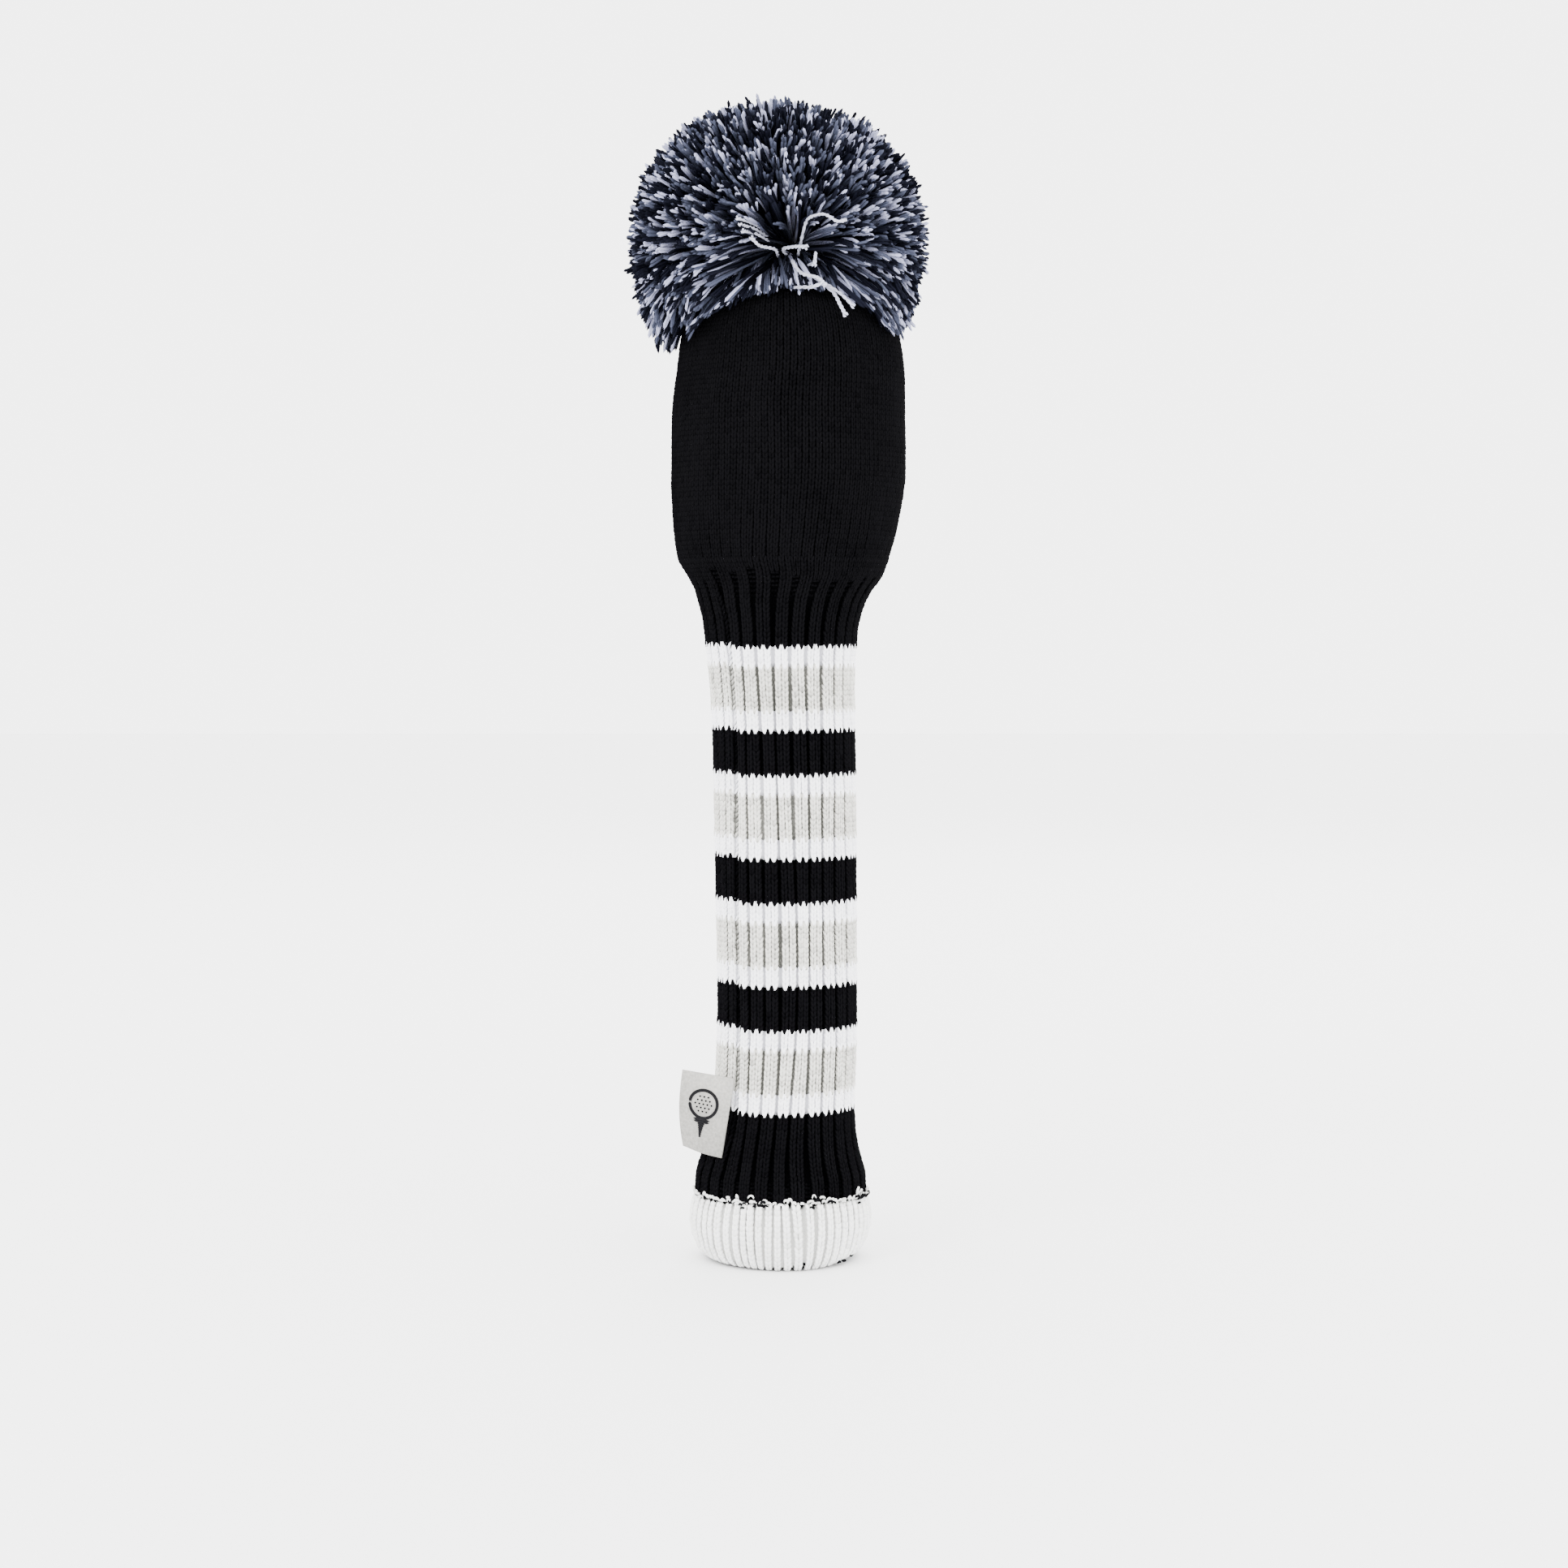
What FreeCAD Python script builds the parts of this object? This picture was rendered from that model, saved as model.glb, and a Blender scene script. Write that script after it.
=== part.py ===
"""Knitted head cover for a golf driver, in millimetres.

The frame: the origin is the centre of the cover's mouth, +Z runs up the neck to the pom-pom,
-Y is the front and +X the viewer's right. The cover is round about Z, apart from the woven label
that is sewn into the side seam, 45 degrees to the left of the front.
"""

import FreeCAD, Part
import math
import os

import Sketcher

V = FreeCAD.Vector

# Driving dimensions: alias, value in millimetres (or a count or an angle), what it is.
DIMENSIONS = [
    ("course", 1.7286, "height of one row of stitches"),
    ("thin_courses", 4, "rows in a white stripe"),
    ("wide_courses", 9, "rows in a grey or a black stripe"),
    ("neck_top", 219.8, "height of the top of the first stripe"),
    ("neck_outer", 25.4, "radius of the striped neck over its ribs"),
    ("knit_wall", 2.6, "thickness of the knitted wall"),
    ("seam_gap", 1.0, "room for the seams between knit and lining"),
    ("lining_wall", 1.5, "thickness of the lining"),
    ("throat_foot", 26.6, "outer radius at the foot of the throat"),
    ("throat_arc", 55.0, "radius of the throat's hollow curve"),
    ("bulb_foot", 37.4, "outer radius at the foot of the bulb"),
    ("bulb_foot_z", 250.0, "height of the foot of the bulb"),
    ("bulb_wide", 41.4, "outer radius at the bulb's widest"),
    ("bulb_wide_z", 281.0, "height of the bulb's widest"),
    ("bulb_high", 39.9, "outer radius where the crown starts to turn in"),
    ("bulb_high_z", 324.0, "height where the crown starts to turn in"),
    ("shoulder", 30.0, "outer radius where shoulder and crown meet"),
    ("shoulder_z", 343.6, "height where shoulder and crown meet"),
    ("crown_z", 353.0, "height of the crown's top"),
    ("crown_hole", 2.6, "radius of the gathered hole in the crown"),
    ("low_arc", 122.0, "radius of the curve below the bulb's widest"),
    ("high_arc", 617.0, "radius of the curve above the bulb's widest"),
    ("shoulder_arc", 26.0, "radius of the shoulder's curve"),
    ("crown_arc", 58.0, "radius of the crown's curve"),
    ("hem_foot", 30.9, "outer radius of the hem at the cuff"),
    ("hem_arc", 95.0, "radius of the hem's hollow curve"),
    ("cuff_outer", 33.0, "outer radius of the turned cuff"),
    ("cuff_inner", 27.0, "inner radius of the turned cuff"),
    ("cuff_top", 23.5, "height of the turned cuff"),
    ("cuff_round", 3.5, "rounding of the fold at the mouth"),
    ("cuff_lip", 1.4, "rounding of the cuff's upper edge"),
    ("mouth_inner", 25.4, "inner radius of the lining at the mouth"),
    ("mouth_outer", 26.7, "outer radius of the lining at the mouth"),
    ("mouth_length", 22.0, "straight length of the lining at the mouth"),
    ("bore_inner", 20.6, "inner radius of the lined neck"),
    ("bore_outer", 21.9, "outer radius of the neck's lining"),
    ("bore_foot", 52.0, "height where the neck's lining becomes straight"),
    ("elastic_inner", 22.3, "inner radius of the throat's elastic"),
    ("elastic_wall", 1.1, "thickness of the elastic"),
    ("elastic_width", 8.0, "width of the elastic"),
    ("elastic_z", 222.0, "height of the elastic's lower edge"),
    ("thread", 0.4, "radius of a sewing thread"),
    ("seam_ring", 22.4, "distance of the side seam's thread from the axis"),
    ("seam_angle", 225.0, "direction of the side seam about Z, in degrees"),
    ("linking_ring", 31.75, "radius of the ring of linking thread on the cuff"),
    ("gather_ring", 6.0, "radius of the gathering thread in the crown"),
    ("pivot_z", 356.8, "height of the knot that the pom-pom sits on"),
    ("knot", 3.2, "radius of that knot"),
    ("socket", 3.6, "radius of the hollow round the knot"),
    ("socket_depth", 2.2, "depth of the pom-pom's core below the knot's centre"),
    ("strand", 0.7, "radius of one strand of the tie cord"),
    ("strand_apart", 1.3, "distance of each strand from the axis"),
    ("button", 9.0, "radius of the anchor button"),
    ("button_wall", 2.2, "thickness of the anchor button"),
    ("button_top", 345.6, "height of the button's upper face"),
    ("button_hole", 0.95, "radius of the button's two holes"),
    ("core", 7.2, "radius of the pom-pom's bound core"),
    ("core_root", 1.2, "height of the core's root above the knot's centre"),
    ("pom_wide", 53.0, "radius of the pom-pom"),
    ("pom_wide_z", 362.0, "height of the pom-pom's widest"),
    ("pom_top", 412.7, "height of the pom-pom's top"),
    ("pom_arc", 51.6, "radius of the pom-pom's upper curve"),
    ("pom_low_arc", 48.0, "radius of the pom-pom's lower curve"),
    ("skirt_outer", 48.0, "radius of the pom-pom's lower edge, outside"),
    ("skirt_inner", 45.0, "radius of the pom-pom's lower edge, inside"),
    ("skirt_z", 340.0, "height of the pom-pom's lower edge"),
    ("hollow_arc", 66.0, "radius of the pom-pom's hollow underside"),
    ("hollow_inner", 10.6, "radius where the hollow underside starts"),
    ("binding_ring", 8.3, "radius of the yarn ring round the core"),
    ("binding", 1.0, "radius of the binding yarn"),
    ("label_wide", 18.9, "width of the folded label"),
    ("label_high", 28.6, "height of the folded label"),
    ("label_thick", 1.0, "thickness of the folded label"),
    ("label_fold", 0.45, "rounding of the label's fold"),
    ("label_foot_x", 23.2, "distance of the sewn edge's foot to the left of the axis"),
    ("label_foot_y", 18.9, "distance of the sewn edge's foot in front of the axis"),
    ("label_foot_z", 38.6, "height of the sewn edge's foot"),
    ("label_lean", 9.3, "lean of the sewn edge towards the neck, in degrees"),
]

WHITE_STRIPES = 8
GREY_STRIPES = 4
BLACK_STRIPES = 3


class Size:
    """A length with its value and the spreadsheet expression that it comes from."""

    def __init__(self, value, text):
        self.value = value
        self.text = text

    def joined(self, other, sign, value):
        return Size(value, f"({self.text} {sign} {as_size(other).text})")

    def __add__(self, other):
        return self.joined(other, "+", self.value + as_size(other).value)

    def __sub__(self, other):
        return self.joined(other, "-", self.value - as_size(other).value)

    def __mul__(self, other):
        return self.joined(other, "*", self.value * as_size(other).value)

    def __truediv__(self, other):
        return self.joined(other, "/", self.value / as_size(other).value)


def as_size(number):
    return number if isinstance(number, Size) else Size(number, str(number))


doc = FreeCAD.newDocument("head_cover")
sheet = doc.addObject("Spreadsheet::Sheet", "sizes")
size = {}
for row, (alias, number, meaning) in enumerate(DIMENSIONS, start=1):
    sheet.set(f"A{row}", meaning)
    sheet.set(f"B{row}", str(number))
    sheet.setAlias(f"B{row}", alias)
    size[alias] = Size(number, f"sizes.{alias}")
doc.recompute()

ZERO = as_size(0)
parts = []


def kept(thing, label):
    """Names a finished sub-part, which is written to its own file."""
    thing.Label = label
    parts.append(thing)
    return thing


def place(thing, **paths):
    """Binds parts of an object's Placement to the sheet."""
    for path, number in paths.items():
        thing.setExpression("Placement." + path.replace("_", "."), number.text)


# Sketches


def plane_of(body, role):
    return next(f for f in body.Origin.OriginFeatures if f.Role == role)


def new_sketch(body, name, role):
    sketch = body.newObject("Sketcher::SketchObject", name)
    sketch.AttachmentSupport = [(plane_of(body, role), "")]
    sketch.MapMode = "FlatFace"
    return sketch


def bind(sketch, constraint, number):
    """Adds a constraint whose value comes from the sheet."""
    index = sketch.addConstraint(constraint)
    sketch.setExpression(f"Constraints[{index}]", number.text)


def pin_point(sketch, curve, end, across, up):
    """Holds one end of a curve at (across, up) from the sketch's origin."""
    for kind, number, axis in (("DistanceX", across, -2), ("DistanceY", up, -1)):
        if number.value == 0:
            sketch.addConstraint(Sketcher.Constraint("PointOnObject", curve, end, axis))
        elif number.value > 0:
            bind(sketch, Sketcher.Constraint(kind, -1, 1, curve, end, number.value), number)
        else:
            back = number * -1
            bind(sketch, Sketcher.Constraint(kind, curve, end, -1, 1, back.value), back)


def arc_between(a, b, radius, side):
    """The shorter arc from a to b, on the left of the way there if side is 1, right if -1."""
    chord = b - a
    half = chord.Length / 2
    rise = radius - math.sqrt(radius * radius - half * half)
    left = V(-chord.y, chord.x, 0).normalize()
    return Part.Arc(a, (a + b) / 2 + left * rise * side, b)


def closed_profile(sketch, corners, arcs):
    """Draws a closed outline through corners, each (across, up). arcs gives (radius, side) for the
    runs that are curved, by the number of the corner that they start from."""
    count = len(corners)
    spots = [V(across.value, up.value, 0) for across, up in corners]
    ends = []
    for i in range(count):
        a, b = spots[i], spots[(i + 1) % count]
        if i in arcs:
            radius, side = arcs[i]
            curve = sketch.addGeometry(arc_between(a, b, radius.value, side), False)
            turned = sketch.getPoint(curve, 1).distanceToPoint(a) > 1e-6
            ends.append((curve, 2, 1) if turned else (curve, 1, 2))
        else:
            curve = sketch.addGeometry(Part.LineSegment(a, b), False)
            ends.append((curve, 1, 2))
    for i, (curve, start, end) in enumerate(ends):
        after, after_start, _ = ends[(i + 1) % count]
        sketch.addConstraint(Sketcher.Constraint("Coincident", curve, end, after, after_start))
    for i, (curve, start, end) in enumerate(ends):
        pin_point(sketch, curve, start, *corners[i])
        if i in arcs:
            radius = arcs[i][0]
            bind(sketch, Sketcher.Constraint("Radius", curve, radius.value), radius)


def turned_body(label, corners, arcs=None):
    """A body turned about Z from an outline in the XZ plane."""
    body = doc.addObject("PartDesign::Body", label + "_body")
    sketch = new_sketch(body, label + "_outline", "XZ_Plane")
    closed_profile(sketch, corners, arcs or {})
    turn = body.newObject("PartDesign::Revolution", label + "_turn")
    turn.Profile = sketch
    turn.ReferenceAxis = (sketch, ["V_Axis"])
    turn.Angle = 360
    sketch.Visibility = False
    return kept(body, label)


def ring_body(label, outer, inner, height, foot):
    """A plain band: two circles padded by height and placed with its foot at that level."""
    body = doc.addObject("PartDesign::Body", label + "_body")
    sketch = new_sketch(body, label + "_rings", "XY_Plane")
    for radius in (outer, inner):
        circle = sketch.addGeometry(Part.Circle(V(0, 0, 0), V(0, 0, 1), radius.value), False)
        sketch.addConstraint(Sketcher.Constraint("Coincident", circle, 3, -1, 1))
        bind(sketch, Sketcher.Constraint("Radius", circle, radius.value), radius)
    pad = body.newObject("PartDesign::Pad", label + "_pad")
    pad.Profile = sketch
    pad.setExpression("Length", height.text)
    sketch.Visibility = False
    place(body, Base_z=foot)
    return kept(body, label)


def thread_ring(label, ring, radius, height):
    """A ring of thread or yarn about Z."""
    torus = doc.addObject("Part::Torus", label)
    torus.setExpression("Radius1", ring.text)
    torus.setExpression("Radius2", radius.text)
    place(torus, Base_z=height)
    return kept(torus, label)


# Neck: stripes from the top down, white-grey-white-black, ending with white

knit_inner = size["neck_outer"] - size["knit_wall"]
thin_band = size["course"] * size["thin_courses"]
wide_band = size["course"] * size["wide_courses"]

stripe_order = []
for group in range(1, GREY_STRIPES + 1):
    stripe_order.append((f"white_stripe_{2 * group - 1}", thin_band))
    stripe_order.append((f"grey_stripe_{group}", wide_band))
    stripe_order.append((f"white_stripe_{2 * group}", thin_band))
    if group <= BLACK_STRIPES:
        stripe_order.append((f"black_stripe_{group}", wide_band))

hem_top = size["neck_top"]
for label, height in stripe_order:
    hem_top = hem_top - height
    ring_body(label, size["neck_outer"], knit_inner, height, hem_top)

# Hem: flares from the neck down to the cuff, with a hollow curve

turned_body(
    "hem_rib",
    [
        (knit_inner, hem_top),
        (size["hem_foot"] - size["knit_wall"], size["cuff_top"]),
        (size["hem_foot"], size["cuff_top"]),
        (size["neck_outer"], hem_top),
    ],
    {
        0: (size["hem_arc"] + size["knit_wall"], -1),
        2: (size["hem_arc"], 1),
    },
)

# Cuff: a double turn of knit, straight inside and rounded at the fold

cuff_round = size["cuff_round"]
cuff_lip = size["cuff_lip"]
turned_body(
    "cuff",
    [
        (size["cuff_inner"], ZERO),
        (size["cuff_outer"] - cuff_round, ZERO),
        (size["cuff_outer"], cuff_round),
        (size["cuff_outer"], size["cuff_top"] - cuff_lip),
        (size["cuff_outer"] - cuff_lip, size["cuff_top"]),
        (size["cuff_inner"], size["cuff_top"]),
    ],
    {1: (cuff_round, -1), 3: (cuff_lip, -1)},
)

thread_ring(
    "cuff_linking_thread",
    size["linking_ring"],
    size["thread"],
    size["cuff_top"] + size["thread"] + 0.1,
)

# Bulb and throat. The layers of the bulb's wall lie inside one another, so each outline is the
# outer one moved inwards by its depth.


def bulb_side(depth):
    """The outline from the bulb's foot to the hole in its crown, at a depth in the wall."""
    return [
        (size["bulb_foot"] - depth, size["bulb_foot_z"]),
        (size["bulb_wide"] - depth, size["bulb_wide_z"]),
        (size["bulb_high"] - depth, size["bulb_high_z"]),
        (size["shoulder"] - depth * 0.68, size["shoulder_z"] - depth * 0.73),
        (size["crown_hole"], size["crown_z"] - depth),
    ]


def bulb_arcs(first, depth, side):
    """The arcs of that outline, whose first corner has this number. side is 1 if it's drawn
    upwards and -1 if the corners are taken in reverse."""
    radii = [
        size[name] - depth for name in ("low_arc", "high_arc", "shoulder_arc", "crown_arc")
    ]
    if side < 0:
        radii.reverse()
    return {first + i: (radius, -side) for i, radius in enumerate(radii)}


knit_wall = size["knit_wall"]
outside = bulb_side(ZERO)
inside = bulb_side(knit_wall)
turned_body(
    "head_pocket",
    outside + inside[::-1],
    {**bulb_arcs(0, ZERO, 1), **bulb_arcs(5, knit_wall, -1)},
)

turned_body(
    "throat_rib",
    [
        (size["throat_foot"], size["neck_top"]),
        (size["bulb_foot"], size["bulb_foot_z"]),
        (size["bulb_foot"] - knit_wall, size["bulb_foot_z"]),
        (size["throat_foot"] - knit_wall, size["neck_top"]),
    ],
    {
        0: (size["throat_arc"], 1),
        2: (size["throat_arc"] + knit_wall, -1),
    },
)

lining_depth = knit_wall + size["seam_gap"]
lining_inside = lining_depth + size["lining_wall"]
above_elastic = size["elastic_z"] + size["elastic_width"] + 1
lining_out = bulb_side(lining_depth)
lining_in = bulb_side(lining_inside)
turned_body(
    "pocket_lining",
    [(size["bore_outer"], size["neck_top"]), (size["bore_outer"], above_elastic)]
    + lining_out
    + lining_in[::-1]
    + [(size["bore_inner"], above_elastic), (size["bore_inner"], size["neck_top"])],
    {**bulb_arcs(2, lining_depth, 1), **bulb_arcs(7, lining_inside, -1)},
)

turned_body(
    "neck_lining",
    [
        (size["mouth_inner"], ZERO),
        (size["mouth_outer"], ZERO),
        (size["mouth_outer"], size["mouth_length"]),
        (size["bore_outer"], size["bore_foot"]),
        (size["bore_outer"], size["neck_top"]),
        (size["bore_inner"], size["neck_top"]),
        (size["bore_inner"], size["bore_foot"]),
        (size["mouth_inner"], size["mouth_length"]),
    ],
)

ring_body(
    "throat_elastic",
    size["elastic_inner"] + size["elastic_wall"],
    size["elastic_inner"],
    size["elastic_width"],
    size["elastic_z"],
)

# Threads inside the wall

seam = doc.addObject("Part::Cylinder", "seam_line")
seam.setExpression("Radius", size["thread"].text)
seam.setExpression("Height", (size["neck_top"] - size["bore_foot"] - 6).text)
place(
    seam,
    Base_x=size["seam_ring"] * Size(math.cos(math.radians(225)), "cos(sizes.seam_angle * 1deg)"),
    Base_y=size["seam_ring"] * Size(math.sin(math.radians(225)), "sin(sizes.seam_angle * 1deg)"),
    Base_z=size["bore_foot"] + 3,
)
kept(seam, "side_seam_thread")

thread_ring(
    "crown_gather_thread",
    size["gather_ring"],
    size["thread"],
    size["crown_z"] - knit_wall - size["seam_gap"] * 0.5 - 0.36,
)

# Tie cord: two strands from the knot under the pom-pom, down through the crown and the button,
# and round below it


def tie_cord():
    body = doc.addObject("PartDesign::Body", "tie_body")
    apart = size["strand_apart"]
    under = size["button_top"] - size["button_wall"] - size["strand"] - 0.3
    path = new_sketch(body, "tie_path", "XZ_Plane")
    top = size["pivot_z"]
    left = path.addGeometry(
        Part.LineSegment(V(-apart.value, top.value, 0), V(-apart.value, under.value, 0)), False
    )
    bend = path.addGeometry(
        Part.Arc(
            V(-apart.value, under.value, 0),
            V(0, under.value - apart.value, 0),
            V(apart.value, under.value, 0),
        ),
        False,
    )
    right = path.addGeometry(
        Part.LineSegment(V(apart.value, under.value, 0), V(apart.value, top.value, 0)), False
    )
    path.addConstraint(Sketcher.Constraint("Tangent", left, 2, bend, 1))
    path.addConstraint(Sketcher.Constraint("Tangent", right, 1, bend, 2))
    path.addConstraint(Sketcher.Constraint("Vertical", left))
    bind(path, Sketcher.Constraint("DistanceX", left, 1, -1, 1, apart.value), apart)
    bind(path, Sketcher.Constraint("DistanceY", -1, 1, left, 1, top.value), top)
    bind(path, Sketcher.Constraint("DistanceY", -1, 1, left, 2, under.value), under)
    bind(path, Sketcher.Constraint("DistanceX", -1, 1, right, 1, apart.value), apart)
    bind(path, Sketcher.Constraint("DistanceY", -1, 1, right, 2, top.value), top)
    section = new_sketch(body, "tie_section", "XY_Plane")
    section.setExpression("AttachmentOffset.Base.z", top.text)
    circle = section.addGeometry(
        Part.Circle(V(-apart.value, 0, 0), V(0, 0, 1), size["strand"].value), False
    )
    section.addConstraint(Sketcher.Constraint("PointOnObject", circle, 3, -1))
    bind(section, Sketcher.Constraint("DistanceX", circle, 3, -1, 1, apart.value), apart)
    bind(section, Sketcher.Constraint("Radius", circle, size["strand"].value), size["strand"])
    strand = body.newObject("PartDesign::AdditivePipe", "tie_strand")
    strand.Profile = section
    strand.Spine = (path, ["Edge1", "Edge2", "Edge3"])
    doc.recompute()
    knot = body.newObject("PartDesign::AdditiveSphere", "tie_knot")
    knot.setExpression("Radius", size["knot"].text)
    knot.AttachmentSupport = [(plane_of(body, "XY_Plane"), "")]
    knot.MapMode = "FlatFace"
    knot.setExpression("AttachmentOffset.Base.z", top.text)
    body.Tip = knot
    return kept(body, "pom_tie_cord")


tie_cord()


def button_disc():
    blank = doc.addObject("Part::Cylinder", "button_blank")
    blank.setExpression("Radius", size["button"].text)
    blank.setExpression("Height", size["button_wall"].text)
    holes = []
    for name, sign in (("left", -1), ("right", 1)):
        hole = doc.addObject("Part::Cylinder", "button_hole_" + name)
        hole.setExpression("Radius", size["button_hole"].text)
        hole.setExpression("Height", (size["button_wall"] * 3).text)
        place(hole, Base_x=size["strand_apart"] * sign, Base_z=size["button_wall"] * -1)
        holes.append(hole)
    both = doc.addObject("Part::MultiFuse", "button_holes")
    both.Shapes = holes
    disc = doc.addObject("Part::Cut", "button_disc")
    disc.Base = blank
    disc.Tool = both
    place(disc, Base_z=size["button_top"] - size["button_wall"])
    return kept(disc, "anchor_button")


button_disc()

# Pom-pom: a ball with a hollow underside that stays clear of the crown as it tips, and a bound
# core that sits over the knot

pivot = size["pivot_z"]
core_foot = pivot - size["socket_depth"]
core_root = pivot + size["core_root"]
opening = math.sqrt(size["socket"].value ** 2 - size["socket_depth"].value ** 2)
socket_edge = Size(opening, "sqrt(sizes.socket ^ 2 - sizes.socket_depth ^ 2)")
turned_body(
    "pom_pom",
    [
        (ZERO, pivot + size["socket"]),
        (ZERO, size["pom_top"]),
        (size["pom_wide"], size["pom_wide_z"]),
        (size["skirt_outer"], size["skirt_z"]),
        (size["skirt_inner"], size["skirt_z"] - 0.5),
        (size["hollow_inner"], core_root),
        (size["core"], core_root),
        (size["core"], core_foot),
        (socket_edge, core_foot),
    ],
    {
        1: (size["pom_arc"], 1),
        2: (size["pom_low_arc"], 1),
        4: (size["hollow_arc"], -1),
        8: (size["socket"], -1),
    },
)

thread_ring("pom_binding", size["binding_ring"], size["binding"], pivot - 0.2)

# Label: a folded strip whose sewn edge lies along the seam and whose fold stands out to -X


def label_strip():
    body = doc.addObject("PartDesign::Body", "label_body")
    sketch = new_sketch(body, "label_face", "XZ_Plane")
    fold_x = size["label_wide"] * -1
    high = size["label_high"]
    closed_profile(sketch, [(ZERO, ZERO), (fold_x, ZERO), (fold_x, high), (ZERO, high)], {})
    pad = body.newObject("PartDesign::Pad", "label_pad")
    pad.Profile = sketch
    pad.SideType = "Symmetric"
    pad.setExpression("Length", size["label_thick"].text)
    sketch.Visibility = False
    doc.recompute()
    fold_edges = [
        f"Edge{i}"
        for i, edge in enumerate(pad.Shape.Edges, start=1)
        if all(abs(v.X - fold_x.value) < 1e-6 for v in edge.Vertexes) and edge.Length > 2
    ]
    fold = body.newObject("PartDesign::Fillet", "label_fold")
    fold.Base = (pad, fold_edges)
    fold.setExpression("Radius", size["label_fold"].text)
    body.Placement = FreeCAD.Placement(V(0, 0, 0), V(0, 1, 0), size["label_lean"].value)
    body.setExpression("Placement.Rotation.Angle", size["label_lean"].text + " * 1deg")
    place(
        body,
        Base_x=size["label_foot_x"] * -1,
        Base_y=size["label_foot_y"] * -1,
        Base_z=size["label_foot_z"],
    )
    return kept(body, "side_label")


label_strip()

# Check and write

doc.recompute()
for thing in doc.Objects:
    if {"Invalid", "Error"} & set(thing.State):
        raise RuntimeError(f"{thing.Name} failed: {thing.State}")

os.makedirs("parts", exist_ok=True)
for part in parts:
    shape = part.Shape
    if shape.isNull() or not shape.isValid() or not shape.Solids:
        raise RuntimeError(f"{part.Label} has no valid solid")
    shape.exportStep(f"parts/{part.Label}.step")
    box = shape.optimalBoundingBox()
    print(
        f"{part.Label:22s} {len(shape.Solids)} solid {shape.Volume / 1000:8.2f} cm3"
        f"  z {box.ZMin:7.2f} to {box.ZMax:7.2f}  x {box.XMin:7.2f} to {box.XMax:7.2f}"
    )
print(len(parts), "parts")
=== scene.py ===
import math
import bpy
import numpy as np
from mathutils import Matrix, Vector


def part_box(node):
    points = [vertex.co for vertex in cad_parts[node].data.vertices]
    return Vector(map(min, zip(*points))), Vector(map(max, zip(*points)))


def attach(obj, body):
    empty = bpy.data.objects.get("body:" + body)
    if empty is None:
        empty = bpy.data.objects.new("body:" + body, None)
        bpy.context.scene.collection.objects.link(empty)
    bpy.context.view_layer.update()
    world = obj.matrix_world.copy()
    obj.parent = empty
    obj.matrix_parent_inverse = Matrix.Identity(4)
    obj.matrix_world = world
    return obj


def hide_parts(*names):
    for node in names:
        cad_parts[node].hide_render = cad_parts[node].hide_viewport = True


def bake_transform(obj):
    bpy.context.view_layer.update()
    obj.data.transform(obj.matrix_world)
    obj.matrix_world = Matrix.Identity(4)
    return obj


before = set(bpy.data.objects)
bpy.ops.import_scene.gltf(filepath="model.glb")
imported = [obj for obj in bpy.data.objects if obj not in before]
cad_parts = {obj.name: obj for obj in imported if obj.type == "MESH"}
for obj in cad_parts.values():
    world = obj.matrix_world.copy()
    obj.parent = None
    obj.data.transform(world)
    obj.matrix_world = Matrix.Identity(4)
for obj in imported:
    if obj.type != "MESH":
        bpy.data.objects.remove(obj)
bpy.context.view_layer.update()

# Knitted driver head cover. Lengths in the helpers are millimetres; meshes are written in metres.
MM = 0.001
TURN = 2 * math.pi
rng = np.random.default_rng(41)


def span(node):
    """Bottom and top of a CAD node, in millimetres."""
    low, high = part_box(node)
    return low.z / MM, high.z / MM


STRIPE_COURSES = 9
stripe_low, stripe_high = span("grey_stripe_1")
COURSE = (stripe_high - stripe_low) / STRIPE_COURSES
RIBS = 28
HEM_BOTTOM, HEM_TOP = span("hem_rib")
THROAT_BOTTOM, POCKET_BOTTOM = span("throat_rib")
CROWN_TOP = span("head_pocket")[1]
TIE = np.array([0.0, 0.0, CROWN_TOP + 3.8])
SEAM_ANGLE = math.radians(225)


# ---------------------------------------------------------------- numbers
def unit(v):
    return v / np.linalg.norm(v, axis=-1, keepdims=True)


def smoothstep(low, high, x):
    t = np.clip((x - low) / (high - low), 0, 1)
    return t * t * (3 - 2 * t)


def steady_curve(x, y, at):
    """Cubic through the points (x, y) that never overshoots between them."""
    x, y = np.asarray(x, float), np.asarray(y, float)
    step = np.diff(x)
    rise = np.diff(y) / step
    slope = np.concatenate([[rise[0]], np.zeros(len(x) - 2), [rise[-1]]])
    same = rise[:-1] * rise[1:] > 0
    w0, w1 = 2 * step[1:] + step[:-1], step[1:] + 2 * step[:-1]
    with np.errstate(divide="ignore", invalid="ignore"):
        mean = (w0 + w1) / (w0 / rise[:-1] + w1 / rise[1:])
    slope[1:-1][same] = mean[same]
    i = np.clip(np.searchsorted(x, at) - 1, 0, len(x) - 2)
    t = (at - x[i]) / step[i]
    a, b = y[i], y[i + 1]
    ma, mb = slope[i] * step[i], slope[i + 1] * step[i]
    return ((2 * t - 3) * t * t + 1) * a + ((t - 2) * t + 1) * t * ma \
        + (3 - 2 * t) * t * t * b + (t - 1) * t * t * mb


# ---------------------------------------------------------------- meshes
def show(name, data):
    """A new object in the scene."""
    obj = bpy.data.objects.new(name, data)
    bpy.context.scene.collection.objects.link(obj)
    return obj


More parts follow.
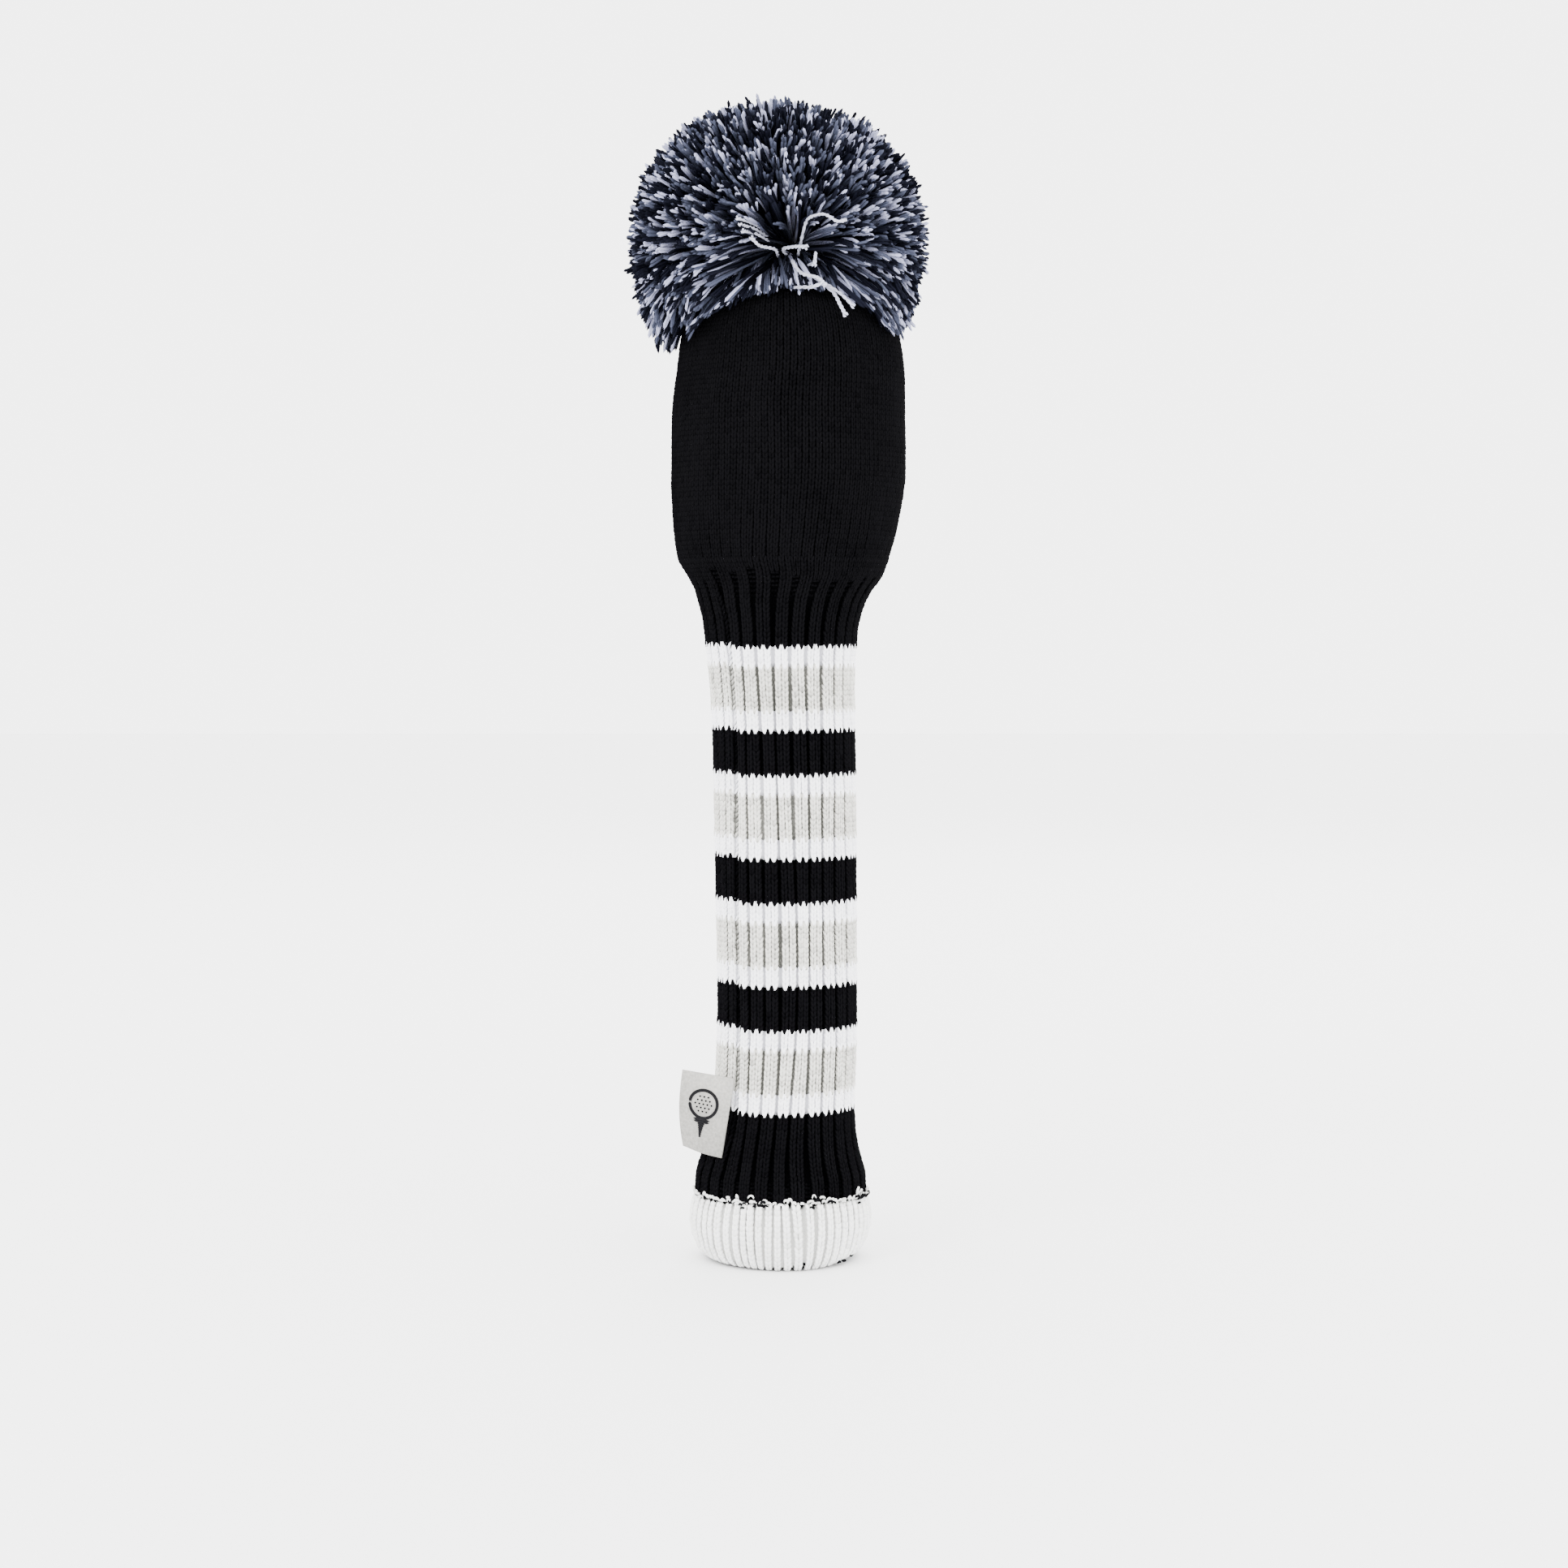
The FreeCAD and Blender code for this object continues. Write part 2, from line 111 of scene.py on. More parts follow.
class Cloth:
    """The points and faces of one piece, gathered yarn by yarn and surface by surface."""

    def __init__(self):
        self.points, self.quads, self.tris, self.shades, self.count = [], [], [], [], 0

    def add(self, points, quads, tris, shades):
        self.points.append(points)
        self.quads.append(quads + self.count)
        self.tris.append(tris + self.count)
        self.shades.append(shades)
        self.count += len(points)

    def grid(self, points, loop_rows=False, shade=0.5):
        """A surface of rows by columns of points, closed round its columns."""
        rows, cols, _ = points.shape
        index = np.arange(rows * cols).reshape(rows, cols)
        if loop_rows:
            index = np.vstack([index, index[:1]])
        right = np.roll(index, -1, axis=1)
        quads = np.stack([index[:-1], right[:-1], right[1:], index[1:]], -1).reshape(-1, 4)
        self.add(points.reshape(-1, 3), quads, np.zeros((0, 3), int),
                 np.full(rows * cols, shade))

    def wall(self, outer, inner, shade=0.5):
        """A tube's closed wall between its outer and its inner surface."""
        self.grid(np.concatenate([outer, inner[::-1]]), loop_rows=True, shade=shade)

    def yarns(self, paths, radii, up, shades, sides=5):
        """Closed yarns along paths (yarn, point, 3). Their first and last points are the tips.
        shades is each point's painted shade, from 0, darkest, deep in the fabric, to 1 on its
        surface."""
        n, k, _ = paths.shape
        tangent = np.empty_like(paths)
        tangent[:, 1:-1] = paths[:, 2:] - paths[:, :-2]
        tangent[:, 0] = paths[:, 1] - paths[:, 0]
        tangent[:, -1] = paths[:, -1] - paths[:, -2]
        tangent = unit(tangent)
        side = unit(np.cross(tangent, up))
        top = np.cross(side, tangent)
        a = np.arange(sides) * TURN / sides
        ring = side[:, :, None] * np.cos(a)[:, None] + top[:, :, None] * np.sin(a)[:, None]
        ring = ring * radii[:, :, None, None] + paths[:, :, None]
        skin = ring[:, 1:-1].reshape(n, -1, 3)
        points = np.concatenate([paths[:, :1], skin, paths[:, -1:]], 1)
        j = np.arange(sides)
        nxt = (j + 1) % sides
        base = 1 + np.arange(k - 3)[:, None] * sides
        quads = np.stack([base + j, base + sides + j, base + sides + nxt, base + nxt], -1)
        last = (k - 2) * sides + 1
        tris = np.concatenate([
            np.stack([0 * j, 1 + j, 1 + nxt], -1),
            np.stack([0 * j + last, last - sides + nxt, last - sides + j], -1)])
        start = np.arange(n)[:, None, None] * (last + 1)
        tone_and_shade = np.broadcast_to(shades, (n, k))
        skin_tone_and_shade = np.repeat(tone_and_shade[:, 1:-1], sides, axis=1)
        tone_and_shade = np.concatenate([tone_and_shade[:, :1], skin_tone_and_shade, tone_and_shade[:, -1:]], 1)
        self.add(points.reshape(-1, 3), (quads.reshape(1, -1, 4) + start).reshape(-1, 4),
                 (tris[None] + start).reshape(-1, 3), tone_and_shade.ravel())

    def piece(self, name, material, slot, body, *stands_for):
        points = np.concatenate(self.points) * MM
        quads, tris = np.concatenate(self.quads), np.concatenate(self.tris)
        mesh = bpy.data.meshes.new(name)
        mesh.vertices.add(len(points))
        mesh.vertices.foreach_set("co", points.astype(np.float32).ravel())
        mesh.loops.add(quads.size + tris.size)
        mesh.loops.foreach_set("vertex_index",
                               np.concatenate([quads.ravel(), tris.ravel()]).astype(np.int32))
        mesh.polygons.add(len(quads) + len(tris))
        mesh.polygons.foreach_set("loop_start", np.concatenate(
            [np.arange(len(quads)) * 4, quads.size + np.arange(len(tris)) * 3]).astype(np.int32))
        mesh.update(calc_edges=True)
        shade = mesh.attributes.new("shade", "FLOAT", "POINT")
        shade.data.foreach_set("value", np.concatenate(self.shades).astype(np.float32))
        mesh.materials.append(material)
        obj = show(name, mesh)
        if body:
            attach(obj, body)
        if stands_for:
            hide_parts(*stands_for)
        return obj


# ---------------------------------------------------------------- materials
MIX_FACTOR, MIX_DARK, MIX_LIGHT, MIX_RESULT = 0, 6, 7, 2
FIBRE_SHARE, PATCH_SHARE = 0.9, 0.6
FIBRE_BUMP = 0.0003


def fibre_material(name, dark, light, roughness, sheen=0.0, sheen_tint=(1, 1, 1),
                   fibre=2600, patch=60, relief=0.25, specular=0.1):
    """Yarn: its colour runs from the dark to the light colour by the shade attribute, which holds
    painted shade and a random tone per yarn, and varies at random from fibre to fibre and patch to
    patch.
    """
    material = bpy.data.materials.new(name)
    material.use_nodes = True
    nodes, links = material.node_tree.nodes, material.node_tree.links
    shader = nodes["Principled BSDF"]
    place = nodes.new("ShaderNodeTexCoord")
    fine = nodes.new("ShaderNodeTexNoise")
    fine.inputs["Scale"].default_value = fibre
    fine.inputs["Detail"].default_value = 3
    wide = nodes.new("ShaderNodeTexNoise")
    wide.inputs["Scale"].default_value = patch
    wide.inputs["Detail"].default_value = 4
    # This node reads the shade attribute: painted shade, with a random tone per yarn.
    yarn = nodes.new("ShaderNodeAttribute")
    yarn.attribute_name = "shade"
    for noise in (fine, wide):
        links.new(place.outputs["Object"], noise.inputs["Vector"])
    level = yarn.outputs["Fac"]
    for noise, share in ((fine, FIBRE_SHARE), (wide, PATCH_SHARE)):
        part = nodes.new("ShaderNodeMath")
        part.operation = "MULTIPLY_ADD"
        part.inputs[1].default_value = share
        part.inputs[2].default_value = -0.5 * share
        links.new(noise.outputs["Fac"], part.inputs[0])
        total = nodes.new("ShaderNodeMath")
        total.use_clamp = True
        links.new(part.outputs[0], total.inputs[0])
        links.new(level, total.inputs[1])
        level = total.outputs[0]
    mix = nodes.new("ShaderNodeMix")
    mix.data_type = "RGBA"
    mix.inputs[MIX_DARK].default_value = (*dark, 1)
    mix.inputs[MIX_LIGHT].default_value = (*light, 1)
    links.new(level, mix.inputs[MIX_FACTOR])
    links.new(mix.outputs[MIX_RESULT], shader.inputs["Base Color"])
    bump = nodes.new("ShaderNodeBump")
    bump.inputs["Strength"].default_value = relief
    bump.inputs["Distance"].default_value = FIBRE_BUMP
    links.new(fine.outputs["Fac"], bump.inputs["Height"])
    links.new(bump.outputs["Normal"], shader.inputs["Normal"])
    shader.inputs["Roughness"].default_value = roughness
    shader.inputs["Specular IOR Level"].default_value = specular
    shader.inputs["Sheen Weight"].default_value = sheen
    shader.inputs["Sheen Roughness"].default_value = 0.5
    shader.inputs["Sheen Tint"].default_value = (*sheen_tint, 1)
    return material


# The knitted and pom-pom yarns take their first colour where the shade attribute paints them in
# shade, deep in the fabric, and their second on their crests.
black_knit = fibre_material("black_knit", (0.0002, 0.0002, 0.0003), (0.0026, 0.0025, 0.0030), 0.8,
                            specular=0.004)
white_knit = fibre_material("white_knit", (0.60, 0.60, 0.64), (0.94, 0.94, 0.97), 0.9, sheen=0.08)
grey_knit = fibre_material("grey_knit", (0.10, 0.10, 0.09), (0.60, 0.59, 0.55), 0.9, sheen=0.04,
                           fibre=1500)
cuff_knit = fibre_material("cuff_knit", (0.44, 0.44, 0.42), (0.86, 0.86, 0.85), 0.9, sheen=0.08)
black_thread = fibre_material("black_thread", (0.0008, 0.0008, 0.001), (0.005, 0.005, 0.006), 0.8,
                              specular=0.01)
fleece = fibre_material("lining_fleece", (0.003, 0.003, 0.004), (0.016, 0.016, 0.018), 0.97,
                        sheen=0.03, relief=0.8, fibre=1400)
rubber = fibre_material("elastic", (0.5, 0.5, 0.48), (0.7, 0.7, 0.68), 0.6, fibre=900)
pom_black = fibre_material("pom_yarn_black", (0.0003, 0.0003, 0.0008), (0.0048, 0.0052, 0.0095), 0.7,
                           specular=0.01)
pom_slate = fibre_material("pom_yarn_slate", (0.0018, 0.0021, 0.004), (0.045, 0.050, 0.078), 0.8,
                           specular=0.03)
pom_light = fibre_material("pom_yarn_light", (0.008, 0.009, 0.018), (0.32, 0.33, 0.47), 0.85,
                           sheen=0.03, specular=0.05)
tie_yarn = fibre_material("tie_yarn", (0.10, 0.10, 0.14), (0.50, 0.51, 0.62), 0.85, sheen=0.05,
                          specular=0.05)
button_plastic = fibre_material("button_plastic", (0.012, 0.012, 0.013), (0.02, 0.02, 0.021), 0.35,
                                fibre=300, relief=0.05, specular=0.5)
label_cloth = fibre_material("label_cloth", (0.11, 0.108, 0.10), (0.38, 0.37, 0.345), 0.8,
                             fibre=1100, sheen=0.05)
label_print = fibre_material("label_print", (0.002, 0.002, 0.003), (0.009, 0.009, 0.010), 0.8)


# ---------------------------------------------------------------- the knitted tube
def drift(z):
    """How far the hanging tube stands off its straight axis, along X."""
    return steady_curve([0, 36, 56, 90, 141, 188, 224, 234, 244, 250, 262, 285, 300, 320, 345, 360],
                        [-2.6, -2.4, -1.2, 0, -0.45, -1.15, -2.2, -2.0, -0.8, -1.4, -0.7, 0.3,
                         0.3, 1.2, 0.6, 0], z)


def creep(angle, z):
    """The courses climb a little on their way round from the seam, and meet it with a step. The
    hem's lower edge arches up at the front, and the cuff's rim lifts at the sides."""
    round_from_seam = np.mod(angle - SEAM_ANGLE, TURN) / TURN
    inside = smoothstep(30, 50, z) * (1 - smoothstep(228, 245, z))
    return (round_from_seam - 0.5) * 1.1 * inside \
        - 1.2 * np.sin(angle) * np.exp(-((z - HEM_BOTTOM) / 8) ** 2) \
        + 1.1 * np.cos(angle) ** 2 * np.exp(-(z / 8) ** 2)


def hung(angle, r, z, shift=0.0):
    """Points round the hanging tube's axis, moved up by shift from the height z."""
    x, y, up = np.broadcast_arrays(drift(z) + r * np.cos(angle), r * np.sin(angle), z + shift)
    return np.stack([x, y, up], -1)


def round_angles(count):
    return np.arange(count) * TURN / count


def waves(count, turns, climb):
    """A smooth uneven field round the tube, about 1 high."""
    parts = [(rng.integers(1, turns), rng.uniform(-climb, climb), rng.uniform(0, TURN))
             for _ in range(count)]
    return lambda angle, z: sum(np.sin(k * angle + q * z + p) for k, q, p in parts) / count ** 0.5


ripple = waves(9, 6, 0.05)
wander = waves(10, 14, 0.06)


class Tube:
    """A tube of knitting round the axis. Places on it are an angle, the length s along its
    section, and a height off the outside of its ribs."""

    def __init__(self, section, ribs, share, depth, ripple_size, wander_size):
        z, r = np.array(section, float).T
        u = np.concatenate([[0], np.cumsum(np.hypot(np.diff(z), np.diff(r)))])
        fine = np.linspace(0, u[-1], 3000)
        self.z, self.r = steady_curve(u, z, fine), steady_curve(u, r, fine)
        self.s = np.concatenate([[0], np.cumsum(np.hypot(np.diff(self.z), np.diff(self.r)))])
        self.nr, self.nz = np.gradient(self.z, self.s), -np.gradient(self.r, self.s)
        self.ribs, self.share, self.depth = ribs, share, depth
        self.ripple_size, self.wander_size = ripple_size, wander_size

    def s_at(self, z):
        return float(np.interp(z, self.z, self.s))

    def radius(self, s):
        return np.interp(s, self.s, self.r)

    def height(self, s):
        return np.interp(s, self.s, self.z)

    def normal(self, s):
        """The radial and the upward part of the section's outward direction."""
        return np.interp(s, self.s, self.nr), np.interp(s, self.s, self.nz)

    def relief(self, angle, s):
        """Ribs stand up and the grooves between them lie deep; the seam lies deeper still.
        Returns the height off the ribs, and how far into a groove and the seam a place is."""
        z, r = self.height(s), self.radius(s)
        phase = np.mod(angle * self.ribs / TURN + 0.5, 1)
        rib = np.mod(np.floor(angle * self.ribs / TURN + 0.5), self.ribs)
        half = self.share(z, r)
        groove = smoothstep(0.66 * half, 1.22 * half, np.abs(phase - 0.5))
        from_seam = (np.mod(angle - SEAM_ANGLE + math.pi, TURN) - math.pi) * r
        seam = smoothstep(30, 60, z) * (1 - smoothstep(225, 246, z))
        crease = np.exp(-(from_seam / 1.3) ** 2) * seam
        tuck = 0.9 * np.exp(-(from_seam / 3.5) ** 2) * (from_seam < 0) * seam
        depth = self.depth(z, rib)
        return -depth * groove - 3.0 * crease - tuck + self.ripple_size(z) * ripple(angle, z), \
            np.minimum(depth, 1) * groove, crease

    def at(self, angle, s, height):
        z, r = self.height(s), self.radius(s)
        nr, nz = self.normal(s)
        off, groove, _ = self.relief(angle, s)
        off = off + height
        turned = angle + self.wander_size * wander(angle, z) / r
        return hung(turned, r + off * nr, z, off * nz + creep(angle, z) - 0.7 * groove)

    def outward(self, angle, s):
        nr, nz = self.normal(s)
        return np.stack([nr * np.cos(angle), nr * np.sin(angle), nz], -1)


BACKING_OUTSIDE, BACKING_INSIDE, BACKING_HOLE = 1.0, 3.2, 0.6


def backing(cloth, tube, s0, s1, columns):
    """The closed body of the fabric below its visible stitches. Its colour is painted dark (shade
    0.05), as the shade that shows between the stitches.
    """
    s = np.linspace(s0, s1, max(3, int((s1 - s0) / COURSE) + 1))[:, None]
    angle = round_angles(columns)[None]
    z, (nr, nz) = tube.height(s), tube.normal(s)
    r = np.maximum(tube.radius(s) - BACKING_INSIDE * nr, BACKING_HOLE)
    cloth.wall(tube.at(angle, s, -BACKING_OUTSIDE),
               hung(angle, r, z, creep(angle, z) - BACKING_INSIDE * nz), shade=0.05)


# Places along a stitch's leg from its lower end, how thick its yarn is there, and how light it is
# painted: the ends, where the leg dives into the fabric, are painted in shade.
LEG = np.array([0, 0.10, 0.38, 0.68, 0.90, 1.0])
LEG_THICK = np.array([0, 0.62, 1, 1, 0.64, 0])
LEG_PAINTED_LIGHT = np.array([0.0, 0.25, 0.85, 1.0, 0.35, 0.0])


def stitches(cloth, tube, angle, s, width, rise, edge, yarn=0.25):
    """Knit stitches: two legs that lean together into a V. All arguments are arrays. Where edge
    is -1 or 1 the lower or upper ends of the legs show, over the yarn of the next colour."""
    n = len(angle)
    free = np.where(LEG < 0.5, edge[:, None] == -1, edge[:, None] == 1)
    wide = width * rng.normal(1, 0.03, n)
    # Painted shade along each leg, lifted where its ends show over the next colour, around a random
    # tone per stitch.
    tone_and_shade = rng.normal(0, 0.10, (n, 1)) + LEG_PAINTED_LIGHT + 0.4 * free
    r = np.maximum(tube.radius(s), 3)
    up = tube.outward(angle, s)[:, None]
    for hand in (-1, 1):
        x = hand * wide[:, None] * (0.05 + 0.33 * LEG) + rng.normal(0, 0.04, (n, 1))
        y = rise[:, None] * (-0.95 + 2.05 * LEG + rng.normal(0, 0.03, (n, 1)))
        size = (width * yarn * rng.normal(1, 0.06, n))[:, None]
        sink = 0.70 * (1 - np.sin(math.pi * (0.16 + 0.74 * LEG)) ** 0.8)
        h = -size - sink + rng.normal(0, 0.05, (n, 1)) \
            + free * (0.7 * sink + (1 - LEG_THICK) * size + 0.15)
        turn, along = angle[:, None] + x / r[:, None], s[:, None] + y
        # The legs are painted darker in the seam's crease, as its shade.
        seam_shade = tube.relief(turn, along)[2]
        cloth.yarns(tube.at(turn, along, h), size * LEG_THICK, up, tone_and_shade - 0.9 * seam_shade)


def purls(cloth, tube, angle, s, width, rise):
    """The backs of stitches: short yarns across the wale, bowed like small waves."""
    n = len(angle)
    t = np.linspace(-1, 1, 6)
    r = tube.radius(s)
    x = 0.60 * width[:, None] * t + rng.normal(0, 0.05, (n, 1))
    y = rise[:, None] * (0.30 * np.cos(t * 2.2) + rng.normal(0, 0.05, (n, 1)))
    size = 0.34 * rise[:, None] * np.ones((n, 1))
    h = -size - 0.25 - 0.45 * t ** 2
    path = tube.at(angle[:, None] + x / r[:, None], s[:, None] + y, h)
    up = tube.outward(angle, s)[:, None]
    # Painted shade: each bar darkens towards its ends and deep in the grooves, around a random tone.
    groove_shade_factor = 1 - 0.8 * tube.relief(angle, s)[1][:, None]
    tone_and_shade = rng.normal(0, 0.1, (n, 1)) + np.array([0.1, 0.5, 0.9, 0.9, 0.5, 0.1]) * groove_shade_factor
    cloth.yarns(path, size * np.array([0, 0.8, 1, 1, 0.8, 0]), up, tone_and_shade)


EVEN_SHARE, CLOSED_SHARE = 0.25, 0.412
KNIT_WALE = 2.35
LEAST_WALE = 1.05


def knit_share(z, r):
    """A knit wale's width as a share of its rib. The purl wales close up where the rib draws in."""
    pitch = TURN * r / RIBS
    share = np.clip(KNIT_WALE / pitch, EVEN_SHARE, CLOSED_SHARE)
    return np.where(z > POCKET_BOTTOM + 12, EVEN_SHARE, share)


rib_fade = rng.normal(0, 2.5, RIBS)
rib_deep = rng.uniform(0.72, 1.12, RIBS)


def rib_end(rib):
    """How high each rib of the throat reaches before it runs out into plain knitting."""
    return POCKET_BOTTOM - 7 + rib_fade[rib]


def rib_depth(z, rib):
    rib = rib.astype(int) % RIBS
    ends = rib_end(rib) - 5
    full = 0.7 + 1.2 * smoothstep(HEM_BOTTOM, HEM_TOP, z) - 0.6 * smoothstep(THROAT_BOTTOM, 236, z)
    return full * rib_deep[rib] * (1 - 0.93 * smoothstep(ends - 9, ends + 9, z))


knit_tube = Tube(
    [(HEM_BOTTOM - 6, 30.6), (HEM_BOTTOM, 30.9), (30, 30.6), (36, 29.0), (44, 27.0), (50, 26.0),
     (HEM_TOP, 25.4), (96, 25.2), (141, 25.4), (188, 25.5), (212, 26.2), (THROAT_BOTTOM, 27.0),
     (227, 27.8), (233, 29.3), (239, 31.6), (244.5, 34.9), (POCKET_BOTTOM, 37.4), (262, 39.8),
     (281, 41.4), (300, 41.1), (324, 39.2), (335.5, 36.2), (343.6, 30), (349.5, 18),
     (CROWN_TOP - 0.6, 6), (CROWN_TOP, 2.6)],
    RIBS, knit_share, rib_depth, ripple_size=lambda z: 0.22 + 0.4 * smoothstep(245, 275, z),
    wander_size=0.45)


def rows(tube, s0, s1):
    """The middles of the courses between two places, and their height."""
    count = max(1, round((s1 - s0) / COURSE))
    rise = (s1 - s0) / count
    return s0 + (np.arange(count) + 0.2) * rise, rise


def ribbed(cloth, s0, s1):
    """Two knit wales and two purl wales in each rib."""
    s, rise = rows(knit_tube, s0, s1)
    edge = np.repeat(np.r_[-1, np.zeros(len(s) - 2), 1], RIBS)
    s, rib = [g.ravel() for g in np.meshgrid(s, np.arange(RIBS), indexing="ij")]
    z, r = knit_tube.height(s), knit_tube.radius(s)
    share, pitch = knit_share(z, r), TURN * r / RIBS
    for hand in (-1, 1):
        stitches(cloth, knit_tube, TURN * (rib + hand * share / 2) / RIBS, s, share * pitch,
                 np.full(len(s), rise), edge)
        gap = 0.5 - share
        angle, wide = TURN * (rib + 0.5 + hand * gap / 2) / RIBS, gap * pitch
        knit = (wide > LEAST_WALE) & (z > rib_end(rib))
        purl = (wide > LEAST_WALE) & ~knit
        if purl.any():
            purls(cloth, knit_tube, angle[purl], s[purl], wide[purl], np.full(purl.sum(), rise))
        if knit.any():
            stitches(cloth, knit_tube, angle[knit], s[knit], wide[knit], np.full(knit.sum(), rise),
                     edge[knit])


def jersey(cloth, s0, s1):
    """Plain knitting, every wale on its face. Wales run together where the crown draws in."""
    s_rows, rise = rows(knit_tube, s0, s1)
    for s in s_rows:
        r = knit_tube.radius(s)
        wales = 4 * RIBS if r > 19 else 2 * RIBS if r > 9 else RIBS if r > 4.5 else 0
        if not wales:
            continue
        wale = np.arange(wales)
        angle = TURN * (wale + 0.5) / wales
        if wales == 4 * RIBS:
            share = knit_share(knit_tube.height(s), r)
            angle = TURN * (wale // 4 + (wale % 4 - 1.5) * EVEN_SHARE
                            + (2 * (wale % 2) - 1) * (share - EVEN_SHARE) / 2) / RIBS
        width = np.full(wales, TURN * r / wales)
        stitches(cloth, knit_tube, angle, np.full(wales, s), width, np.full(wales, rise),
                 np.zeros(wales))


def ribbed_piece(node, material, slot):
    cloth = Cloth()
    s0, s1 = (knit_tube.s_at(z) for z in span(node))
    backing(cloth, knit_tube, s0, s1, RIBS * 12)
    ribbed(cloth, s0, s1)
    return cloth.piece(node + "_knit", material, slot, "cover", node)


for node in sorted(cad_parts):
    for colour, material in (("white", white_knit), ("grey", grey_knit), ("black", black_knit)):
        if node.startswith(colour + "_stripe"):
            ribbed_piece(node, material, colour + "_knit")
ribbed_piece("hem_rib", black_knit, "black_knit")
ribbed_piece("throat_rib", black_knit, "black_knit")

pocket_cuts = [knit_tube.s_at(z) for z in (POCKET_BOTTOM, 275, 300, 324)] + [knit_tube.s[-1]]
for part, s0, s1 in zip(("lower", "middle", "upper", "crown"), pocket_cuts, pocket_cuts[1:]):
    cloth = Cloth()
    backing(cloth, knit_tube, s0, s1, RIBS * 8)
    jersey(cloth, s0, s1)
    cloth.piece("head_pocket_" + part, black_knit, "black_knit", "cover", "head_pocket")


# ---------------------------------------------------------------- the turned cuff
CUFF_RIBS = 56
ridge_deep = rng.uniform(0.35, 1.3, CUFF_RIBS)


def cuff_depth(z, rib):
    return 1.25 * ridge_deep[rib.astype(int) % CUFF_RIBS]


cuff = Tube([(18.5, 27.0), (12, 26.2), (5, 25.4), (1.6, 25.6), (0.4, 26.9), (1.5, 28.9),
             (4.2, 30.6), (8.5, 32.1), (14, 32.9), (19, 32.4), (22.2, 31.5), (HEM_BOTTOM, 30.6)],
            CUFF_RIBS, lambda z, r: 0.31, cuff_depth, ripple_size=lambda z: 0.5, wander_size=1.0)
cloth = Cloth()
s = np.linspace(0, cuff.s[-1], 40)[:, None]
angle = round_angles(CUFF_RIBS * 8)[None]
# The cuff's under-surface is painted darker (shade 0.3), as the shade between its stitches.
cloth.grid(cuff.at(angle, s, -BACKING_OUTSIDE), loop_rows=True, shade=0.3)
s, rise = rows(cuff, 0, cuff.s[-1] - 0.5)
s, rib = [g.ravel() for g in np.meshgrid(s, np.arange(CUFF_RIBS), indexing="ij")]
stitches(cloth, cuff, TURN * rib / CUFF_RIBS, s,
         0.66 * TURN * cuff.radius(s) / CUFF_RIBS * rng.uniform(0.85, 1.15, CUFF_RIBS)[rib],
         np.full(len(s), rise), np.zeros(len(s)), yarn=0.29)


def loops(cloth, angles, z, spread, reach, thick, radius):
    """Small uneven loops of yarn that stand up round an edge."""
    n = len(angles)
    t = np.linspace(0, math.pi, 8)
    half = rng.uniform(0.4, 1.1, n)[:, None]
    tall = rng.uniform(0.15, 1.0, n)[:, None] * reach
    lean = rng.normal(0, 0.5, n)[:, None]
    across = half * np.cos(t) + lean * np.sin(t)
    up = z + rng.normal(0, spread, n)[:, None] + tall * np.sin(t)
    r = radius + 0.4 * np.sin(t) + rng.normal(0, 0.25, (n, 1))
    turn = angles[:, None] + across / r
    path = hung(turn, r, up, creep(turn, up))
    outward = np.stack([np.cos(angles), np.sin(angles), 0 * angles], -1)[:, None]
    size = rng.normal(thick, 0.05, (n, 1)) * np.array([0, 0.9, 1, 1, 1, 1, 0.9, 0])
    cloth.yarns(path, size, outward, rng.uniform(0.4, 0.9, (n, 1)))


def scattered(count, clumps):
    """Angles round an edge, gathered in loose clumps."""
    centres = rng.uniform(0, TURN, clumps)
    return rng.choice(centres, count) + rng.normal(0, 0.09, count)


CUFF_LOOPS = 2 * CUFF_RIBS
spacing = np.arange(CUFF_LOOPS) + rng.uniform(-0.4, 0.4, CUFF_LOOPS)
loops(cloth, spacing * TURN / CUFF_LOOPS, z=HEM_BOTTOM - 0.5, spread=0.4, reach=1.9,
      thick=0.42, radius=30.7)
loops(cloth, scattered(26, clumps=9), z=HEM_BOTTOM + 0.3, spread=0.6, reach=2.2,
      thick=0.36, radius=31.0)
cloth.piece("cuff_knit", cuff_knit, "cuff_knit", "cover", "cuff")
cloth = Cloth()
loops(cloth, scattered(52, clumps=13), z=HEM_BOTTOM - 0.9, spread=0.7, reach=1.3,
      thick=0.40, radius=31.3)
loops(cloth, scattered(14, clumps=5), z=1.3, spread=0.5, reach=0.9, thick=0.40, radius=28.2)
cloth.piece("cuff_linking_stitches", black_thread, "black_thread", "cover",
            "cuff_linking_thread")


# ---------------------------------------------------------------- linings
LINING_WALL, LINING_ROWS, LINING_COLUMNS = 1.3, 90, 180


def lining(node, section):
    """A soft fleece tube inside the knitting, its pile slightly uneven."""
    u, fine = np.linspace(0, 1, len(section)), np.linspace(0, 1, LINING_ROWS)
    z, r = (steady_curve(u, values, fine) for values in zip(*section))
    nr, nz = unit(np.stack([np.gradient(z), -np.gradient(r)], -1)).T[..., None]
    z, r = z[:, None], r[:, None]
    angle = round_angles(LINING_COLUMNS)[None]
    skins = []
    for off in (0.0, LINING_WALL):
        pile = rng.normal(0, 0.06, (LINING_ROWS, LINING_COLUMNS)) + 0.2 * ripple(angle, z)
        skins.append(hung(angle, r - off * nr + pile, z - off * nz))
    cloth = Cloth()
    cloth.wall(*skins)
    cloth.piece(node + "_fleece", fleece, "lining_fleece", "cover", node)


